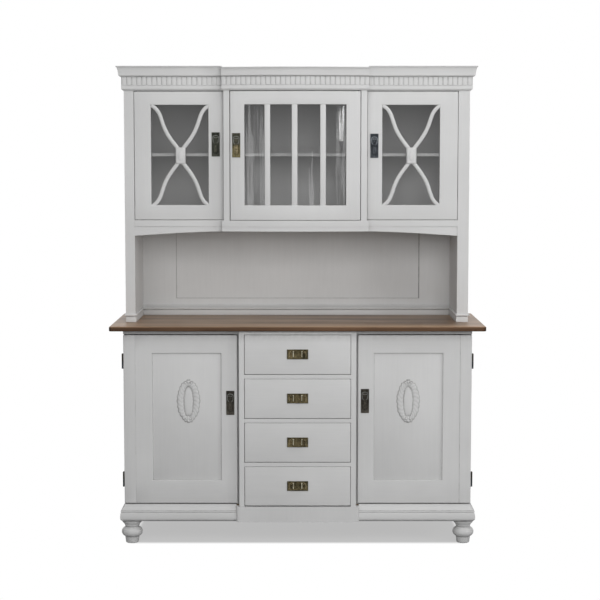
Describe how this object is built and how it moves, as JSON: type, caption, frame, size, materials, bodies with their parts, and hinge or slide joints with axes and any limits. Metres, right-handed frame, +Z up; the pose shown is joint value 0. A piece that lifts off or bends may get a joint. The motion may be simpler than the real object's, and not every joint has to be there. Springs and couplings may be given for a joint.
{
  "type": "china cabinet with glass doors",
  "caption": "Two-part china cabinet: panelled base with drawers, open niche, and an upper case with glazed doors, a bowed middle door, glazing bars and a reeded cornice.",
  "frame": {"origin": "on the floor, under the middle of the worktop's outline", "axes": "+Z up; +X to the right for someone who faces the cabinet; the front faces -Y"},
  "size_m": [1.56, 0.575, 1.998],
  "materials": {
    "grey_paint": "light grey brushed paint with wood-brown wear along the edges",
    "bare_wood": "unpainted softwood, darkened by age",
    "brown_wood": "brown stained wood, semi-matt, darker at its edge",
    "clear_glass": "clear window glass",
    "dark_brass": "aged brass with a dark patina",
    "dark_steel": "dark steel hinge parts"
  },
  "bodies": {
    "case": {"feet": "grey_paint", "plinth_moulding": "grey_paint", "plinth_middle": "grey_paint", "base_floor": "bare_wood", "base_sides": "grey_paint", "base_back": "bare_wood", "base_partitions": "grey_paint", "drawer_rails": "grey_paint", "drawer_runners": "bare_wood", "base_top": "grey_paint", "worktop": "brown_wood", "case_runners": "grey_paint", "posts": "grey_paint", "upper_sides": "grey_paint", "upper_back": "grey_paint", "niche_frame": "grey_paint", "upper_floor": "grey_paint", "apron": "grey_paint", "upper_partitions": "grey_paint", "upper_top": "grey_paint", "cornice_fillet": "grey_paint", "reeded_band": "grey_paint", "cornice_crown": "grey_paint", "shelves": "grey_paint", "shelf_cleats": "bare_wood", "hinge_pins": "dark_steel"},
    "drawer_1": {"drawer_1_front": "grey_paint", "drawer_1_box": "bare_wood", "drawer_1_plate": "dark_brass"},
    "drawer_1_pull": {"drawer_1_bail": "dark_brass"},
    "drawer_2": {"drawer_2_front": "grey_paint", "drawer_2_box": "bare_wood", "drawer_2_plate": "dark_brass"},
    "drawer_2_pull": {"drawer_2_bail": "dark_brass"},
    "drawer_3": {"drawer_3_front": "grey_paint", "drawer_3_box": "bare_wood", "drawer_3_plate": "dark_brass"},
    "drawer_3_pull": {"drawer_3_bail": "dark_brass"},
    "drawer_4": {"drawer_4_front": "grey_paint", "drawer_4_box": "bare_wood", "drawer_4_plate": "dark_brass"},
    "drawer_4_pull": {"drawer_4_bail": "dark_brass"},
    "upper_left_door": {"upper_left_frame": "grey_paint", "upper_left_glass": "clear_glass", "upper_left_plate": "dark_brass"},
    "upper_left_pull": {"upper_left_drop": "dark_brass"},
    "upper_right_door": {"upper_right_frame": "grey_paint", "upper_right_glass": "clear_glass", "upper_right_plate": "dark_brass"},
    "upper_right_pull": {"upper_right_drop": "dark_brass"},
    "upper_middle_door": {"upper_middle_frame": "grey_paint", "upper_middle_glass": "clear_glass", "upper_middle_plate": "dark_brass"},
    "upper_middle_pull": {"upper_middle_drop": "dark_brass"},
    "lower_left_door": {"lower_left_frame": "grey_paint", "lower_left_fittings": "dark_brass"},
    "lower_left_pull": {"lower_left_drop": "dark_brass"},
    "lower_right_door": {"lower_right_frame": "grey_paint", "lower_right_fittings": "dark_brass"},
    "lower_right_pull": {"lower_right_drop": "dark_brass"}
  },
  "joints": [
    {"name": "drawer_1_slide", "type": "slide", "parent": "case", "child": "drawer_1", "axis": [0, -1, 0], "range_m": [0, 0.36]},
    {"name": "drawer_1_bail_swing", "type": "hinge", "parent": "drawer_1", "child": "drawer_1_pull", "pos_m": [0, -0.277, 0.81719], "axis": [-1, 0, 0], "range_deg": [0, 85]},
    {"name": "drawer_2_slide", "type": "slide", "parent": "case", "child": "drawer_2", "axis": [0, -1, 0], "range_m": [0, 0.36]},
    {"name": "drawer_2_bail_swing", "type": "hinge", "parent": "drawer_2", "child": "drawer_2_pull", "pos_m": [0, -0.277, 0.63256], "axis": [-1, 0, 0], "range_deg": [0, 85]},
    {"name": "drawer_3_slide", "type": "slide", "parent": "case", "child": "drawer_3", "axis": [0, -1, 0], "range_m": [0, 0.36]},
    {"name": "drawer_3_bail_swing", "type": "hinge", "parent": "drawer_3", "child": "drawer_3_pull", "pos_m": [0, -0.277, 0.44794], "axis": [-1, 0, 0], "range_deg": [0, 85]},
    {"name": "drawer_4_slide", "type": "slide", "parent": "case", "child": "drawer_4", "axis": [0, -1, 0], "range_m": [0, 0.36]},
    {"name": "drawer_4_bail_swing", "type": "hinge", "parent": "drawer_4", "child": "drawer_4_pull", "pos_m": [0, -0.277, 0.26331], "axis": [-1, 0, 0], "range_deg": [0, 85]},
    {"name": "upper_left_door_swing", "type": "hinge", "parent": "case", "child": "upper_left_door", "pos_m": [-0.676, -0.1005, 1.625], "axis": [0, 0, -1], "range_deg": [0, 115]},
    {"name": "upper_left_drop_swing", "type": "hinge", "parent": "upper_left_door", "child": "upper_left_pull", "pos_m": [-0.344, -0.1125, 1.677], "axis": [-1, 0, 0], "range_deg": [0, 80]},
    {"name": "upper_right_door_swing", "type": "hinge", "parent": "case", "child": "upper_right_door", "pos_m": [0.6635, -0.1005, 1.625], "axis": [0, 0, 1], "range_deg": [0, 115]},
    {"name": "upper_right_drop_swing", "type": "hinge", "parent": "upper_right_door", "child": "upper_right_pull", "pos_m": [0.3225, -0.1125, 1.671], "axis": [-1, 0, 0], "range_deg": [0, 80]},
    {"name": "upper_middle_door_swing", "type": "hinge", "parent": "case", "child": "upper_middle_door", "pos_m": [0.253, -0.14021, 1.625], "axis": [0, 0, 1], "range_deg": [0, 95]},
    {"name": "upper_middle_drop_swing", "type": "hinge", "parent": "upper_middle_door", "child": "upper_middle_pull", "pos_m": [-0.25701, -0.15455, 1.673], "axis": [-0.9895, 0.1443, 0], "range_deg": [0, 80]},
    {"name": "lower_left_door_swing", "type": "hinge", "parent": "case", "child": "lower_left_door", "pos_m": [-0.7309, -0.22, 0.525], "axis": [0, 0, -1], "range_deg": [0, 170]},
    {"name": "lower_left_drop_swing", "type": "hinge", "parent": "lower_left_door", "child": "lower_left_pull", "pos_m": [-0.281, -0.2495, 0.602], "axis": [-1, 0, 0], "range_deg": [0, 80]},
    {"name": "lower_right_door_swing", "type": "hinge", "parent": "case", "child": "lower_right_door", "pos_m": [0.7309, -0.22, 0.525], "axis": [0, 0, 1], "range_deg": [0, 170]},
    {"name": "lower_right_drop_swing", "type": "hinge", "parent": "lower_right_door", "child": "lower_right_pull", "pos_m": [0.281, -0.2495, 0.61], "axis": [-1, 0, 0], "range_deg": [0, 80]}
  ]
}
